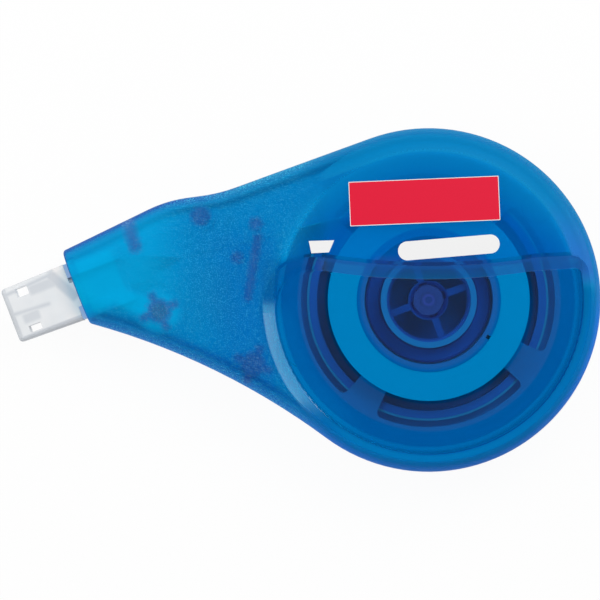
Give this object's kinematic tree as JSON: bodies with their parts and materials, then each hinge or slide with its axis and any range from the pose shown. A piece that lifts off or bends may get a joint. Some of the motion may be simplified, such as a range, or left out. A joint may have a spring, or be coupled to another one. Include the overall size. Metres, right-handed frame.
{
  "type": "correction tape",
  "caption": "Hand-held correction tape: translucent blue case with coaxial supply and take-up reels, wedge applicator in a slanted nose and a white pull-off cap.",
  "frame": {"origin": "on the axis of the reels, at the flat back face that lies on a desk", "axes": "+X from the nose to the round end, +Y towards the straight upper edge, +Z out of the broad front with the window"},
  "size_m": [0.0925, 0.053, 0.016],
  "materials": {
    "front_shell": "clear and glossy over the window, lightly frosted in the neck",
    "back_shell": "glossy, translucent",
    "supply_spool": "satin, translucent",
    "white_tape": "fine wound edges",
    "takeup_spool": "satin, translucent",
    "bare_film": "clear film",
    "clutch_ring": "soft, matte",
    "applicator_tip": "satin",
    "tip_cap": "milky white, slightly see-through",
    "red_print": "printed ink, satin",
    "white_print": "printed ink, satin"
  },
  "bodies": {
    "case": {"front_shell": "front_shell", "back_shell": "back_shell", "applicator_tip": "applicator_tip", "tape_run_out": "white_tape", "tape_run_back": "bare_film"},
    "cap": {"tip_cap": "tip_cap"},
    "supply": {"supply_spool": "supply_spool", "supply_tape": "white_tape"},
    "takeup": {"takeup_spool": "takeup_spool", "used_tape": "bare_film", "clutch_ring": "clutch_ring"}
  },
  "joints": [
    {"name": "cap_pull", "type": "slide", "parent": "case", "child": "cap", "axis": [-0.9336, -0.3584, 0], "range_m": [0, 0.016]},
    {"name": "supply_spin", "type": "hinge", "parent": "case", "child": "supply", "pos_m": [0, 0, 0.0095], "axis": [0, 0, 1], "continuous": true},
    {"name": "takeup_spin", "type": "hinge", "parent": "case", "child": "takeup", "pos_m": [0, 0, 0.0045], "axis": [0, 0, 1], "continuous": true}
  ],
  "couplings": [
    {"joint": "takeup_spin", "follows": "supply_spin", "ratio": 0.829}
  ]
}
